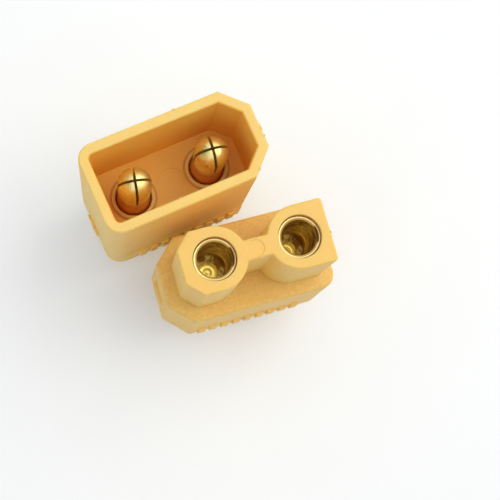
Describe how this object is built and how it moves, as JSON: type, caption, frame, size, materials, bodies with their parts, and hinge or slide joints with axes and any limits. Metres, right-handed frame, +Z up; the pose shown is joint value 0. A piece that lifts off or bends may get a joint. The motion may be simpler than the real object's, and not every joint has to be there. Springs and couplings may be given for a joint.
{
  "type": "battery connector",
  "caption": "Keyed battery connector with slit bullet pins, tube sockets and solder cups, its male and female halves unplugged and standing side by side.",
  "frame": {"origin": "on the table, under the middle of the bounding box of the standing pair", "axes": "+Z up along every contact, out of pins and sockets; +X along the male half from its positive to its negative contact"},
  "size_m": [0.0128, 0.013, 0.0157],
  "materials": {
    "yellow_nylon": "moulded, satin, finely grained on the female half's shoulder",
    "gold_contact": "turned and gold plated"
  },
  "bodies": {
    "root": {"male_housing": "yellow_nylon", "male_pin_positive": "gold_contact", "male_pin_negative": "gold_contact", "female_housing": "yellow_nylon", "female_socket_positive": "gold_contact", "female_socket_negative": "gold_contact"}
  },
  "joints": []
}
